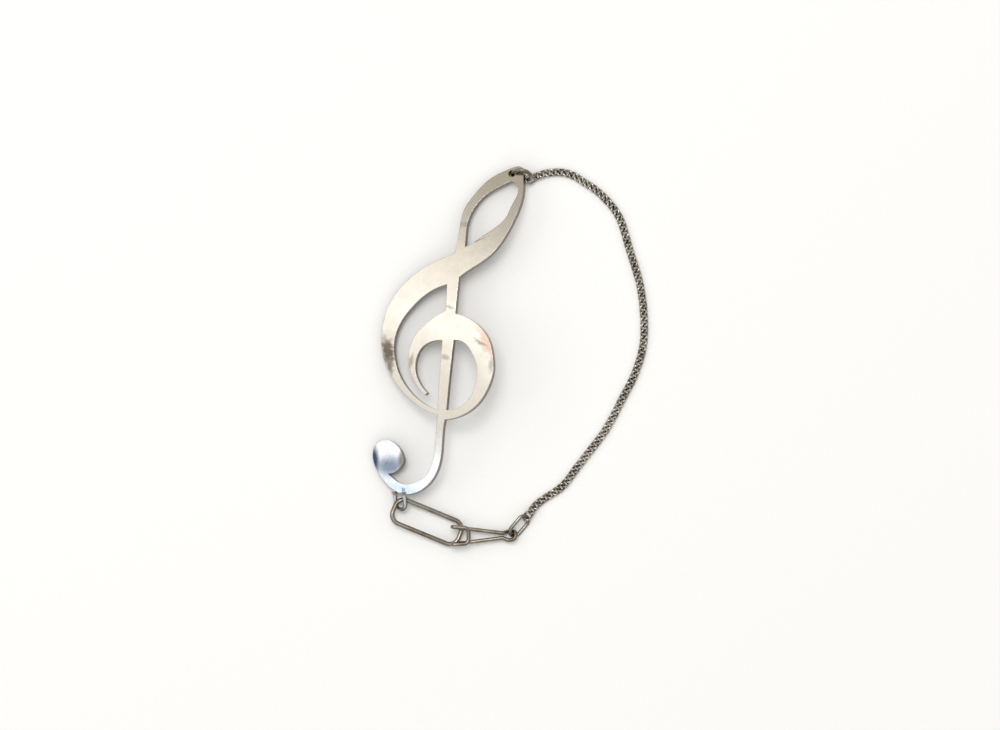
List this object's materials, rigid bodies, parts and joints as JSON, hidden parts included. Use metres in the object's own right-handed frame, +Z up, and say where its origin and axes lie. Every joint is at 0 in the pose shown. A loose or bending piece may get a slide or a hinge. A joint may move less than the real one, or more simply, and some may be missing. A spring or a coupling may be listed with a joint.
{
  "type": "chain bracelet with a treble clef plate",
  "caption": "Bracelet: a pierced, gently arched treble-clef plate with a fine curb chain, a long link and a bent-wire hook clasp.",
  "frame": {"origin": "bottom centre of the clasped bracelet's box, on the table that it lies on", "axes": "+Z up from the table; +Y along the bracelet's length, towards the clef's top tip; +X to the chain's side"},
  "size_m": [0.055, 0.076, 0.0112],
  "materials": {
    "polished_silver": "worn polish with warm tarnish",
    "aged_silver": "aged, brown-grey drawn wire",
    "chain_silver": "aged, dark in the recesses"
  },
  "bodies": {
    "clef_plate": {"clef_plate": "polished_silver"},
    "tip_ring": {"tip_ring": "aged_silver"},
    "chain_links_01": {"chain_links_01": "chain_silver"},
    "chain_links_02": {"chain_links_02": "chain_silver"},
    "chain_links_03": {"chain_links_03": "chain_silver"},
    "chain_links_04": {"chain_links_04": "chain_silver"},
    "chain_links_05": {"chain_links_05": "chain_silver"},
    "chain_links_06": {"chain_links_06": "chain_silver"},
    "chain_links_07": {"chain_links_07": "chain_silver"},
    "chain_links_08": {"chain_links_08": "chain_silver"},
    "chain_links_09": {"chain_links_09": "chain_silver"},
    "chain_links_10": {"chain_links_10": "chain_silver"},
    "chain_links_11": {"chain_links_11": "chain_silver"},
    "chain_links_12": {"chain_links_12": "chain_silver"},
    "chain_links_13": {"chain_links_13": "chain_silver"},
    "chain_links_14": {"chain_links_14": "chain_silver"},
    "chain_links_15": {"chain_links_15": "chain_silver"},
    "chain_links_16": {"chain_links_16": "chain_silver"},
    "chain_links_17": {"chain_links_17": "chain_silver"},
    "chain_links_18": {"chain_links_18": "chain_silver"},
    "chain_links_19": {"chain_links_19": "chain_silver"},
    "chain_links_20": {"chain_links_20": "chain_silver"},
    "chain_links_21": {"chain_links_21": "chain_silver"},
    "chain_links_22": {"chain_links_22": "chain_silver"},
    "chain_links_23": {"chain_links_23": "chain_silver"},
    "chain_links_24": {"chain_links_24": "chain_silver"},
    "chain_links_25": {"chain_links_25": "chain_silver"},
    "chain_links_26": {"chain_links_26": "chain_silver"},
    "chain_links_27": {"chain_links_27": "chain_silver"},
    "chain_links_28": {"chain_links_28": "chain_silver"},
    "chain_links_29": {"chain_links_29": "chain_silver"},
    "chain_links_30": {"chain_links_30": "chain_silver"},
    "chain_links_31": {"chain_links_31": "chain_silver"},
    "chain_links_32": {"chain_links_32": "chain_silver"},
    "chain_links_33": {"chain_links_33": "chain_silver"},
    "chain_links_34": {"chain_links_34": "chain_silver"},
    "chain_links_35": {"chain_links_35": "chain_silver"},
    "chain_links_36": {"chain_links_36": "chain_silver"},
    "chain_links_37": {"chain_links_37": "chain_silver"},
    "end_ring": {"end_ring": "aged_silver"},
    "hook_clasp": {"hook_clasp": "aged_silver"},
    "long_link": {"long_link": "aged_silver"}
  },
  "joints": [
    {"name": "tip_ring_turn", "type": "hinge", "parent": "clef_plate", "child": "tip_ring", "pos_m": [0.00223, 0.03614, 0.00205], "axis": [-0.1487, -0.8317, 0.5349], "range_deg": [0, 30]},
    {"name": "end_ring_lift", "type": "hinge", "parent": "chain_links_37", "child": "end_ring", "pos_m": [0.00298, -0.03234, 0.00119], "axis": [-0.3464, 0.9381, 0], "range_deg": [0, 18]},
    {"name": "hook_turn", "type": "hinge", "parent": "end_ring", "child": "hook_clasp", "pos_m": [0.00012, -0.03575, 0.00114], "axis": [-0.38, 0.3778, 0.8443], "range_deg": [0, 35]},
    {"name": "long_link_swing", "type": "hinge", "parent": "clef_plate", "child": "long_link", "pos_m": [-0.022, -0.02875, 0.00209], "axis": [0.9158, 0.3841, -0.1169], "range_deg": [0, 13]},
    {"name": "chain_01_swing", "type": "hinge", "parent": "tip_ring", "child": "chain_links_01", "pos_m": [0.00338, 0.03528, 0.00141], "axis": [0, 0, 1], "range_deg": [0, 20]},
    {"name": "chain_02_lift", "type": "hinge", "parent": "chain_links_01", "child": "chain_links_02", "pos_m": [0.00602, 0.0363, 0.00084], "axis": [-0.9858, 0.1678, 0], "range_deg": [0, 12]},
    {"name": "chain_03_swing", "type": "hinge", "parent": "chain_links_02", "child": "chain_links_03", "pos_m": [0.0084, 0.03681, 0.00069], "axis": [0, 0, 1], "range_deg": [0, 14]},
    {"name": "chain_04_lift", "type": "hinge", "parent": "chain_links_03", "child": "chain_links_04", "pos_m": [0.01083, 0.03671, 0.00065], "axis": [-0.9733, 0.2294, 0], "range_deg": [0, 12]},
    {"name": "chain_05_swing", "type": "hinge", "parent": "chain_links_04", "child": "chain_links_05", "pos_m": [0.01311, 0.03589, 0.00058], "axis": [0, 0, 1], "range_deg": [0, 14]},
    {"name": "chain_06_lift", "type": "hinge", "parent": "chain_links_05", "child": "chain_links_06", "pos_m": [0.01514, 0.03454, 0.00056], "axis": [-0.9567, 0.2912, 0], "range_deg": [0, 12]},
    {"name": "chain_07_swing", "type": "hinge", "parent": "chain_links_06", "child": "chain_links_07", "pos_m": [0.01718, 0.03319, 0.00054], "axis": [0, 0, 1], "range_deg": [0, 14]},
    {"name": "chain_08_lift", "type": "hinge", "parent": "chain_links_07", "child": "chain_links_08", "pos_m": [0.01895, 0.03151, 0.00054], "axis": [-0.9364, 0.3509, 0], "range_deg": [0, 12]},
    {"name": "chain_09_swing", "type": "hinge", "parent": "chain_links_08", "child": "chain_links_09", "pos_m": [0.02057, 0.02969, 0.00053], "axis": [0, 0, 1], "range_deg": [0, 14]},
    {"name": "chain_10_lift", "type": "hinge", "parent": "chain_links_09", "child": "chain_links_10", "pos_m": [0.02184, 0.02761, 0.00053], "axis": [-0.9142, 0.4053, 0], "range_deg": [0, 12]},
    {"name": "chain_11_swing", "type": "hinge", "parent": "chain_links_10", "child": "chain_links_11", "pos_m": [0.02268, 0.02532, 0.00053], "axis": [0, 0, 1], "range_deg": [0, 14]},
    {"name": "chain_12_lift", "type": "hinge", "parent": "chain_links_11", "child": "chain_links_12", "pos_m": [0.02334, 0.02297, 0.00053], "axis": [-0.893, 0.45, 0], "range_deg": [0, 12]},
    {"name": "chain_13_swing", "type": "hinge", "parent": "chain_links_12", "child": "chain_links_13", "pos_m": [0.02403, 0.02063, 0.00053], "axis": [0, 0, 1], "range_deg": [0, 14]},
    {"name": "chain_14_lift", "type": "hinge", "parent": "chain_links_13", "child": "chain_links_14", "pos_m": [0.02478, 0.01831, 0.00053], "axis": [-0.8673, 0.4978, 0], "range_deg": [0, 12]},
    {"name": "chain_15_swing", "type": "hinge", "parent": "chain_links_14", "child": "chain_links_15", "pos_m": [0.02548, 0.01597, 0.00053], "axis": [0, 0, 1], "range_deg": [0, 14]},
    {"name": "chain_16_lift", "type": "hinge", "parent": "chain_links_15", "child": "chain_links_16", "pos_m": [0.02601, 0.01359, 0.00053], "axis": [-0.8369, 0.5473, 0], "range_deg": [0, 12]},
    {"name": "chain_17_swing", "type": "hinge", "parent": "chain_links_16", "child": "chain_links_17", "pos_m": [0.02638, 0.01118, 0.00053], "axis": [0, 0, 1], "range_deg": [0, 14]},
    {"name": "chain_18_lift", "type": "hinge", "parent": "chain_links_17", "child": "chain_links_18", "pos_m": [0.02662, 0.00875, 0.00053], "axis": [-0.8044, 0.5941, 0], "range_deg": [0, 12]},
    {"name": "chain_19_swing", "type": "hinge", "parent": "chain_links_18", "child": "chain_links_19", "pos_m": [0.02673, 0.00631, 0.00053], "axis": [0, 0, 1], "range_deg": [0, 14]},
    {"name": "chain_20_lift", "type": "hinge", "parent": "chain_links_19", "child": "chain_links_20", "pos_m": [0.0267, 0.00387, 0.00053], "axis": [-0.7689, 0.6394, 0], "range_deg": [0, 12]},
    {"name": "chain_21_swing", "type": "hinge", "parent": "chain_links_20", "child": "chain_links_21", "pos_m": [0.02639, 0.00145, 0.00053], "axis": [0, 0, 1], "range_deg": [0, 14]},
    {"name": "chain_22_lift", "type": "hinge", "parent": "chain_links_21", "child": "chain_links_22", "pos_m": [0.02577, -0.00091, 0.00053], "axis": [-0.7363, 0.6767, 0], "range_deg": [0, 12]},
    {"name": "chain_23_swing", "type": "hinge", "parent": "chain_links_22", "child": "chain_links_23", "pos_m": [0.02497, -0.00321, 0.00053], "axis": [0, 0, 1], "range_deg": [0, 14]},
    {"name": "chain_24_lift", "type": "hinge", "parent": "chain_links_23", "child": "chain_links_24", "pos_m": [0.02396, -0.00543, 0.00053], "axis": [-0.7084, 0.7058, 0], "range_deg": [0, 12]},
    {"name": "chain_25_swing", "type": "hinge", "parent": "chain_links_24", "child": "chain_links_25", "pos_m": [0.02281, -0.00758, 0.00053], "axis": [0, 0, 1], "range_deg": [0, 14]},
    {"name": "chain_26_lift", "type": "hinge", "parent": "chain_links_25", "child": "chain_links_26", "pos_m": [0.02168, -0.00974, 0.00053], "axis": [-0.6814, 0.7319, 0], "range_deg": [0, 12]},
    {"name": "chain_27_swing", "type": "hinge", "parent": "chain_links_26", "child": "chain_links_27", "pos_m": [0.02058, -0.01192, 0.00053], "axis": [0, 0, 1], "range_deg": [0, 14]},
    {"name": "chain_28_lift", "type": "hinge", "parent": "chain_links_27", "child": "chain_links_28", "pos_m": [0.01938, -0.01405, 0.00053], "axis": [-0.6461, 0.7633, 0], "range_deg": [0, 12]},
    {"name": "chain_29_swing", "type": "hinge", "parent": "chain_links_28", "child": "chain_links_29", "pos_m": [0.01803, -0.01608, 0.00053], "axis": [0, 0, 1], "range_deg": [0, 14]},
    {"name": "chain_30_lift", "type": "hinge", "parent": "chain_links_29", "child": "chain_links_30", "pos_m": [0.01655, -0.01802, 0.00053], "axis": [-0.6137, 0.7895, 0], "range_deg": [0, 12]},
    {"name": "chain_31_swing", "type": "hinge", "parent": "chain_links_30", "child": "chain_links_31", "pos_m": [0.01503, -0.01993, 0.00053], "axis": [0, 0, 1], "range_deg": [0, 14]},
    {"name": "chain_32_lift", "type": "hinge", "parent": "chain_links_31", "child": "chain_links_32", "pos_m": [0.01354, -0.02186, 0.00053], "axis": [-0.5743, 0.8186, 0], "range_deg": [0, 12]},
    {"name": "chain_33_swing", "type": "hinge", "parent": "chain_links_32", "child": "chain_links_33", "pos_m": [0.01212, -0.02384, 0.00053], "axis": [0, 0, 1], "range_deg": [0, 14]},
    {"name": "chain_34_lift", "type": "hinge", "parent": "chain_links_33", "child": "chain_links_34", "pos_m": [0.01058, -0.02574, 0.00053], "axis": [-0.5111, 0.8595, 0], "range_deg": [0, 12]},
    {"name": "chain_35_swing", "type": "hinge", "parent": "chain_links_34", "child": "chain_links_35", "pos_m": [0.00866, -0.02723, 0.00051], "axis": [0, 0, 1], "range_deg": [0, 14]},
    {"name": "chain_36_lift", "type": "hinge", "parent": "chain_links_35", "child": "chain_links_36", "pos_m": [0.00657, -0.0285, 0.00054], "axis": [-0.492, 0.8706, 0], "range_deg": [0, 12]},
    {"name": "chain_37_swing", "type": "hinge", "parent": "chain_links_36", "child": "chain_links_37", "pos_m": [0.00473, -0.03008, 0.00076], "axis": [0, 0, 1], "range_deg": [0, 12]}
  ]
}
